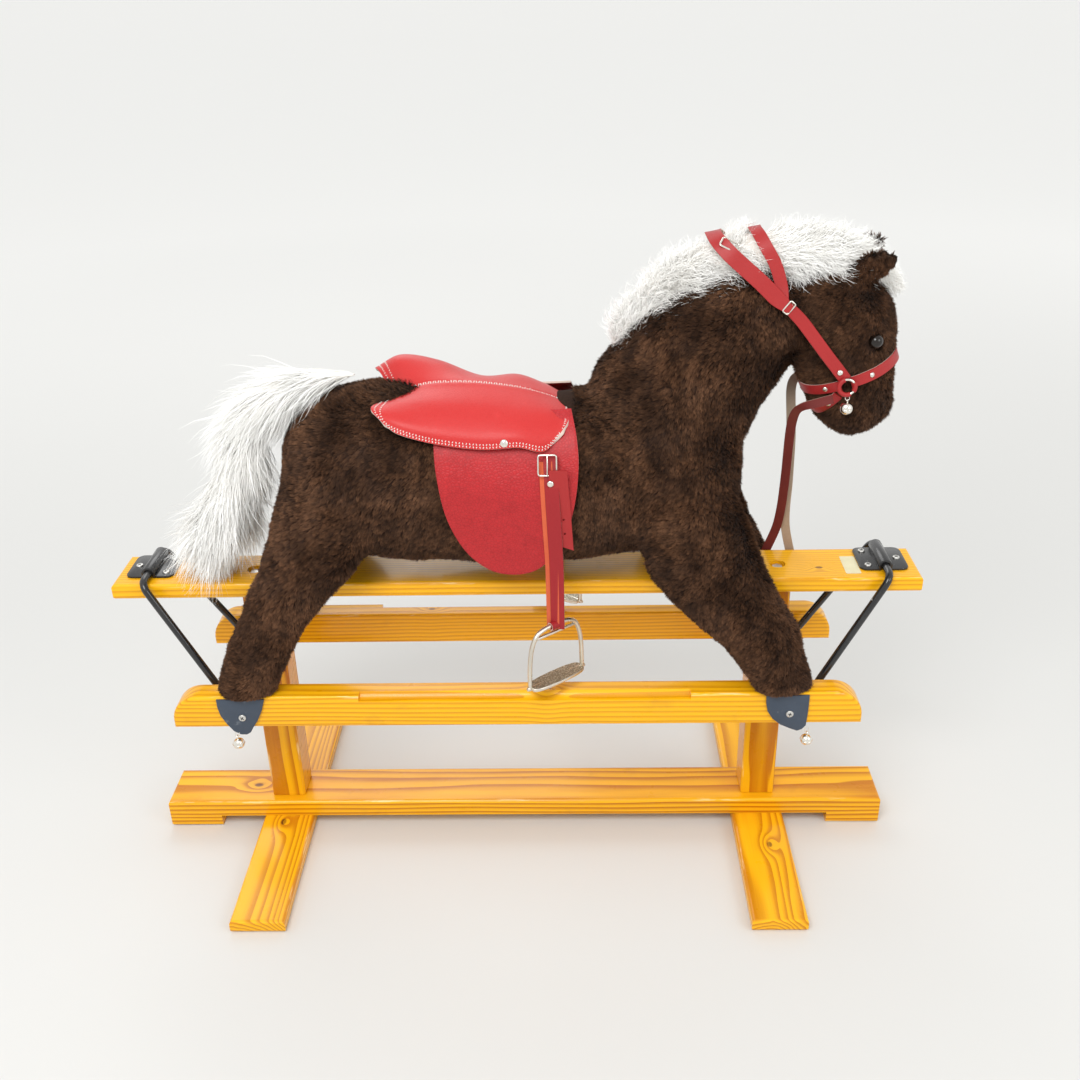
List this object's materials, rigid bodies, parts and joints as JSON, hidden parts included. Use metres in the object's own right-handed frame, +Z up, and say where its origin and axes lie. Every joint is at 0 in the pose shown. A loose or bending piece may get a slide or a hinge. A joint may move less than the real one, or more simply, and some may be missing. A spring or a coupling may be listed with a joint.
{
  "type": "rocking horse",
  "caption": "Plush toy horse on two wooden runners, hung by swing irons from a beam stand, with saddle, stirrups, bridle, rein and bells.",
  "frame": {"origin": "on the floor, midway between the two cross feet and under the beam's centre line", "axes": "+X towards the horse's nose, +Y to the horse's left, +Z up"},
  "size_m": [1.07, 0.5, 0.8605],
  "materials": {
    "pine": "varnished pine, semi-gloss",
    "inner_pine": "bare pine",
    "black_steel": "gloss black paint",
    "plush": "short dense pile, dark brown",
    "white_pile": "long silky pile, cream white",
    "red_leather": "smooth red leather, satin",
    "crimson_leather": "grained crimson leather",
    "nickel": "nickel plate, slightly dulled",
    "grey_vinyl": "smooth vinyl, matt",
    "eye_glass": "polished black"
  },
  "bodies": {
    "stand": {"base_rail": "pine", "rear_foot": "pine", "front_foot": "pine", "rear_post": "pine", "front_post": "pine", "top_beam": "pine", "rear_bracket": "black_steel", "front_bracket": "black_steel", "rear_post_bolt": "nickel", "front_post_bolt": "nickel"},
    "rear_iron": {"rear_swing_iron": "black_steel"},
    "front_iron": {"front_swing_iron": "black_steel"},
    "horse": {"right_runner": "pine", "left_runner": "pine", "torso": "plush", "neck": "plush", "head": "plush", "rear_right_leg": "plush", "rear_left_leg": "plush", "front_right_leg": "plush", "front_left_leg": "plush", "rear_right_leg_slat": "inner_pine", "rear_left_leg_slat": "inner_pine", "front_right_leg_slat": "inner_pine", "front_left_leg_slat": "inner_pine", "spine_board": "inner_pine", "neck_board": "inner_pine", "right_ear": "plush", "left_ear": "plush", "right_eye": "eye_glass", "left_eye": "eye_glass", "mane": "white_pile", "tail": "white_pile", "rear_right_hoof": "grey_vinyl", "rear_left_hoof": "grey_vinyl", "front_right_hoof": "grey_vinyl", "front_left_hoof": "grey_vinyl", "saddle_seat": "red_leather", "right_flap": "crimson_leather", "left_flap": "crimson_leather", "girth": "crimson_leather", "noseband": "red_leather", "headstall": "red_leather", "right_bit_ring": "nickel", "left_bit_ring": "nickel", "rein": "crimson_leather"},
    "rear_right_bell": {"rear_right_hoof_bell": "nickel"},
    "rear_left_bell": {"rear_left_hoof_bell": "nickel"},
    "front_right_bell": {"front_right_hoof_bell": "nickel"},
    "front_left_bell": {"front_left_hoof_bell": "nickel"},
    "right_bit_bell_body": {"right_bit_bell": "nickel"},
    "left_bit_bell_body": {"left_bit_bell": "nickel"},
    "right_leather": {"right_stirrup_leather": "crimson_leather", "right_buckle": "nickel"},
    "left_leather": {"left_stirrup_leather": "crimson_leather", "left_buckle": "nickel"},
    "right_stirrup_body": {"right_stirrup": "nickel"},
    "left_stirrup_body": {"left_stirrup": "nickel"}
  },
  "joints": [
    {"name": "rear_swing", "type": "hinge", "parent": "stand", "child": "rear_iron", "pos_m": [-0.49, 0, 0.4185], "axis": [0, 1, 0], "range_deg": [-15, 15]},
    {"name": "front_swing", "type": "hinge", "parent": "stand", "child": "front_iron", "pos_m": [0.49, 0, 0.4185], "axis": [0, 1, 0], "range_deg": [-15, 15]},
    {"name": "horse_rock", "type": "hinge", "parent": "rear_iron", "child": "horse", "pos_m": [-0.4, 0, 0.262], "axis": [0, 1, 0], "range_deg": [-18.4, 18.4]},
    {"name": "right_leather_swing", "type": "hinge", "parent": "horse", "child": "right_leather", "pos_m": [0.055, -0.0935, 0.62], "axis": [0, 1, 0], "range_deg": [-20, 35]},
    {"name": "left_leather_swing", "type": "hinge", "parent": "horse", "child": "left_leather", "pos_m": [0.055, 0.0935, 0.62], "axis": [0, 1, 0], "range_deg": [-20, 35]},
    {"name": "right_stirrup_tilt", "type": "hinge", "parent": "right_leather", "child": "right_stirrup_body", "pos_m": [0.055, -0.1115, 0.388], "axis": [0.7771, 0.6293, 0], "range_deg": [-25, 25]},
    {"name": "left_stirrup_tilt", "type": "hinge", "parent": "left_leather", "child": "left_stirrup_body", "pos_m": [0.055, 0.1115, 0.388], "axis": [0.7771, -0.6293, 0], "range_deg": [-25, 25]},
    {"name": "rear_right_bell_swing", "type": "hinge", "parent": "horse", "child": "rear_right_bell", "pos_m": [-0.3706, -0.12535, 0.2259], "axis": [0, 1, 0], "range_deg": [-45, 45]},
    {"name": "rear_left_bell_swing", "type": "hinge", "parent": "horse", "child": "rear_left_bell", "pos_m": [-0.3706, 0.12535, 0.2259], "axis": [0, 1, 0], "range_deg": [-45, 45]},
    {"name": "front_right_bell_swing", "type": "hinge", "parent": "horse", "child": "front_right_bell", "pos_m": [0.3834, -0.12535, 0.2259], "axis": [0, 1, 0], "range_deg": [-45, 45]},
    {"name": "front_left_bell_swing", "type": "hinge", "parent": "horse", "child": "front_left_bell", "pos_m": [0.3834, 0.12535, 0.2259], "axis": [0, 1, 0], "range_deg": [-45, 45]},
    {"name": "right_bit_bell_swing", "type": "hinge", "parent": "horse", "child": "right_bit_bell_body", "pos_m": [0.408, -0.0575, 0.6639], "axis": [0, 1, 0], "range_deg": [-45, 45]},
    {"name": "left_bit_bell_swing", "type": "hinge", "parent": "horse", "child": "left_bit_bell_body", "pos_m": [0.408, 0.0575, 0.6639], "axis": [0, 1, 0], "range_deg": [-45, 45]}
  ],
  "couplings": [
    {"joint": "horse_rock", "follows": "rear_swing", "ratio": -1.225},
    {"joint": "front_swing", "follows": "rear_swing", "ratio": 1}
  ]
}
